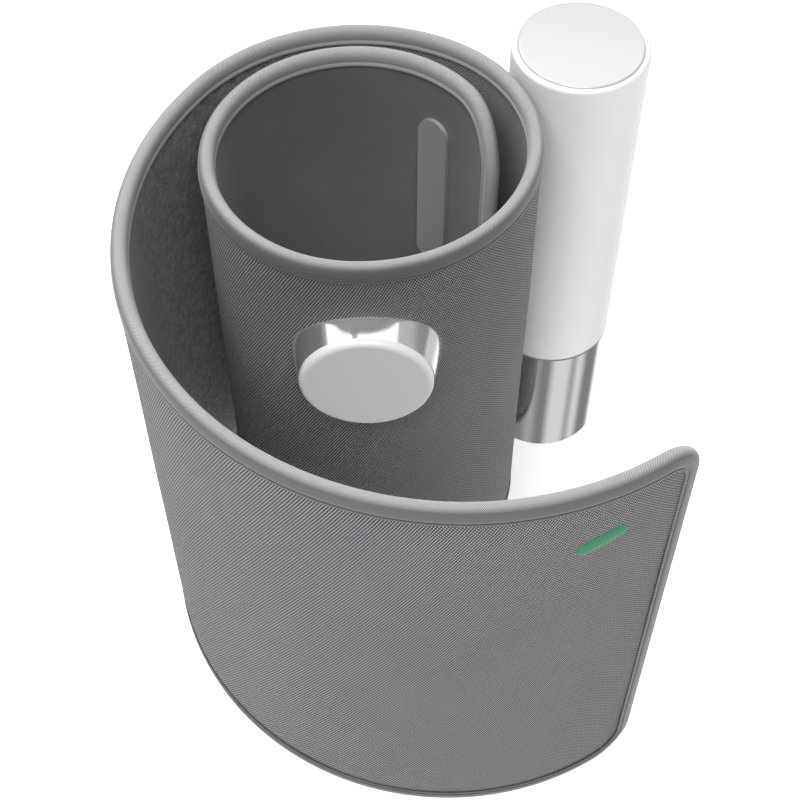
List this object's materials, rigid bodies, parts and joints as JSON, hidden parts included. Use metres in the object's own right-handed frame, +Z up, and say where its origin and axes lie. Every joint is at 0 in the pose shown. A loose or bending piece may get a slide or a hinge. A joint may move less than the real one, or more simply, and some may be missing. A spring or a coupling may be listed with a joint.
{
  "type": "upper arm blood pressure monitor",
  "caption": "Upper arm blood pressure monitor: rolled fabric cuff with a round sensor, beside a white tube with a button cap and a steel contact band.",
  "frame": {"origin": "centre of the tube's foot, on the surface it stands on", "axes": "+Z up along the tube, +Y away from the front of the cuff, +X to the right when the sensor faces the viewer"},
  "size_m": [0.1363, 0.1621, 0.1579],
  "materials": {
    "white_shell": "satin",
    "white_cap": "satin",
    "steel": "fine brushed, nearly polished",
    "seam": "matte",
    "foot_plastic": "matte",
    "screw_steel": "satin",
    "frame_plastic": "matte",
    "port_metal": "satin",
    "board": "satin solder mask",
    "cell": "gloss sleeve",
    "motor_metal": "satin",
    "pump_plastic": "matte",
    "dark_rubber": "matte",
    "valve_metal": "satin",
    "sensor_plastic": "matte",
    "diffuser": "frosted",
    "hose": "matte silicone",
    "fitting": "matte",
    "saddle": "fine grained",
    "twill": "fine twill",
    "lining": "smooth coated",
    "spring_sheet": "matte",
    "binding": "twill tape",
    "bladder_film": "matte film",
    "contact_metal": "satin",
    "hook": "small hooks",
    "chrome": "polished",
    "pale_cap": "satin",
    "microphone_metal": "satin"
  },
  "bodies": {
    "tube": {"air_bladder": "bladder_film", "air_hose": "hose", "battery": "cell", "bottom_cap": "foot_plastic", "button_board": "board", "button_guide": "frame_plastic", "button_switch": "sensor_plastic", "charging_port": "port_metal", "contact_band": "steel", "contact_strip_front": "contact_metal", "display_board": "board", "edge_binding_shoulder": "binding", "exhaust_valve": "valve_metal", "frame_screws": "screw_steel", "hose_fitting": "fitting", "inner_frame": "frame_plastic", "light_guide": "diffuser", "lining_shoulder": "lining", "main_board": "board", "microphone": "microphone_metal", "microphone_gasket": "dark_rubber", "outer_fabric_shoulder": "twill", "pressure_sensor": "sensor_plastic", "pump_head": "pump_plastic", "pump_motor": "motor_metal", "pump_sleeve": "dark_rubber", "saddle_rivets": "screw_steel", "seam_ring": "seam", "sensor_carrier": "frame_plastic", "sensor_cup": "chrome", "sensor_face": "pale_cap", "stiffener_shoulder": "spring_sheet", "tube_saddle": "saddle", "tube_shell": "white_shell"},
    "inner_end": {"contact_strip_back": "contact_metal", "edge_binding_inner_end": "binding", "lining_inner_end": "lining", "outer_fabric_inner_end": "twill", "stiffener_inner_end": "spring_sheet"},
    "flap_root": {"edge_binding_flap_root": "binding", "lining_flap_root": "lining", "outer_fabric_flap_root": "twill", "stiffener_flap_root": "spring_sheet"},
    "flap_end": {"edge_binding_flap_end": "binding", "hook_patch": "hook", "lining_flap_end": "lining", "outer_fabric_flap_end": "twill", "stiffener_flap_end": "spring_sheet"},
    "button": {"button_cap": "white_cap"}
  },
  "joints": [
    {"name": "inner_end_curl", "type": "hinge", "parent": "tube", "child": "inner_end", "pos_m": [-0.09632, -0.03241, 0.0775], "axis": [0, 0, -1], "range_deg": [-2, 10], "stiffness_Nm_per_rad": 0.15},
    {"name": "flap_root_bend", "type": "hinge", "parent": "tube", "child": "flap_root", "pos_m": [-0.10038, -0.01123, 0.0775], "axis": [0, 0, -1], "range_deg": [-6, 35], "stiffness_Nm_per_rad": 0.15},
    {"name": "flap_end_bend", "type": "hinge", "parent": "flap_root", "child": "flap_end", "pos_m": [-0.09594, -0.1128, 0.0775], "axis": [0, 0, -1], "range_deg": [-6, 35], "stiffness_Nm_per_rad": 0.1},
    {"name": "button_press", "type": "slide", "parent": "tube", "child": "button", "axis": [0, 0, -1], "range_m": [0, 0.0008], "stiffness_N_per_m": 1500}
  ],
  "couplings": [
    {"joint": "flap_end_bend", "follows": "flap_root_bend", "ratio": 1}
  ]
}
